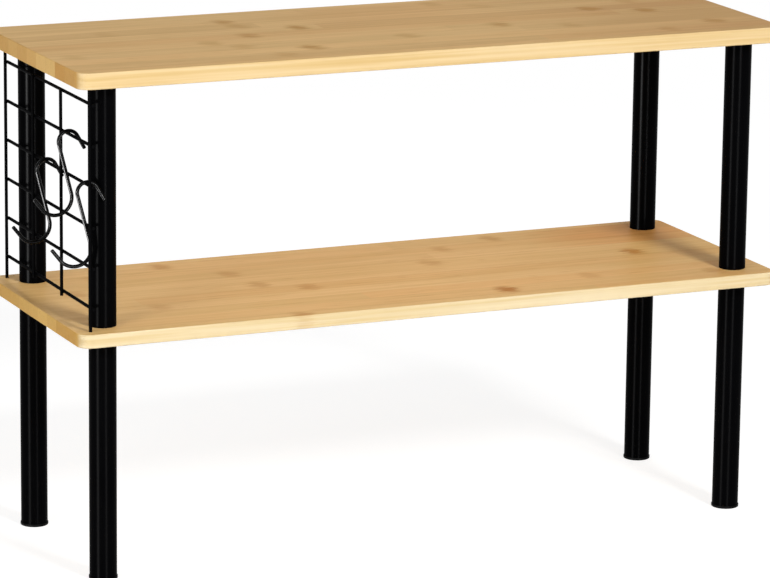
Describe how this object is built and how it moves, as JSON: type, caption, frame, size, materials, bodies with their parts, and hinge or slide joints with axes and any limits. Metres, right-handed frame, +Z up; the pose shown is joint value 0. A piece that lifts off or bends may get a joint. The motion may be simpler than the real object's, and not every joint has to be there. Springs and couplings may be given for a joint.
{
  "type": "kitchen shelf",
  "caption": "Free-standing kitchen shelf: stacked wooden boards on round tube legs, with a wire grid at one end that carries swinging S-hooks.",
  "frame": {"origin": "On the worktop's plane, in the middle of the four feet", "axes": "+X along the boards, away from the grid end; +Y to the back; +Z up"},
  "size_m": [0.7193, 0.25, 0.47],
  "materials": {
    "bamboo": "clear satin lacquer over laminated bamboo strips",
    "black_tube": "semi-gloss powder coat",
    "black_cap": "moulded, slightly shiny",
    "black_plug": "moulded, grooved",
    "steel": "zinc plated",
    "black_wire": "satin powder coat",
    "black_hook": "gloss black plating"
  },
  "bodies": {
    "shelf": {"upper_board": "bamboo", "lower_board": "bamboo", "lower_leg_front_left": "black_tube", "lower_leg_front_right": "black_tube", "lower_leg_back_left": "black_tube", "lower_leg_back_right": "black_tube", "upper_leg_front_left": "black_tube", "upper_leg_front_right": "black_tube", "upper_leg_back_left": "black_tube", "upper_leg_back_right": "black_tube", "foot_cap_front_left": "black_cap", "foot_cap_front_right": "black_cap", "foot_cap_back_left": "black_cap", "foot_cap_back_right": "black_cap", "lower_leg_plug_front_left": "black_plug", "lower_leg_plug_front_right": "black_plug", "lower_leg_plug_back_left": "black_plug", "lower_leg_plug_back_right": "black_plug", "upper_leg_bottom_plug_front_left": "black_plug", "upper_leg_bottom_plug_front_right": "black_plug", "upper_leg_bottom_plug_back_left": "black_plug", "upper_leg_bottom_plug_back_right": "black_plug", "upper_leg_top_plug_front_left": "black_plug", "upper_leg_top_plug_front_right": "black_plug", "upper_leg_top_plug_back_left": "black_plug", "upper_leg_top_plug_back_right": "black_plug", "through_stud_front_left": "steel", "through_stud_front_right": "steel", "through_stud_back_left": "steel", "through_stud_back_right": "steel", "top_stud_front_left": "steel", "top_stud_front_right": "steel", "top_stud_back_left": "steel", "top_stud_back_right": "steel", "board_insert_front_left": "steel", "board_insert_front_right": "steel", "board_insert_back_left": "steel", "board_insert_back_right": "steel", "grid_upright_1": "black_wire", "grid_upright_2": "black_wire", "grid_upright_3": "black_wire", "grid_upright_4": "black_wire", "grid_rung_1": "black_wire", "grid_rung_2": "black_wire", "grid_rung_3": "black_wire", "grid_rung_4": "black_wire", "grid_rung_5": "black_wire", "grid_rung_6": "black_wire"},
    "hook_1": {"hook_1": "black_hook"},
    "hook_2": {"hook_2": "black_hook"},
    "hook_3": {"hook_3": "black_hook"}
  },
  "joints": [
    {"name": "hook_1_swing", "type": "hinge", "parent": "shelf", "child": "hook_1", "pos_m": [-0.3339, -0.0555, 0.4022], "axis": [0, 1, 0], "range_deg": [0, 60]},
    {"name": "hook_2_swing", "type": "hinge", "parent": "shelf", "child": "hook_2", "pos_m": [-0.3339, 0.0028, 0.3654], "axis": [0, 1, 0], "range_deg": [0, 60]},
    {"name": "hook_3_swing", "type": "hinge", "parent": "shelf", "child": "hook_3", "pos_m": [-0.3339, -0.10492, 0.3654], "axis": [0, 1, 0], "range_deg": [0, 60]}
  ]
}
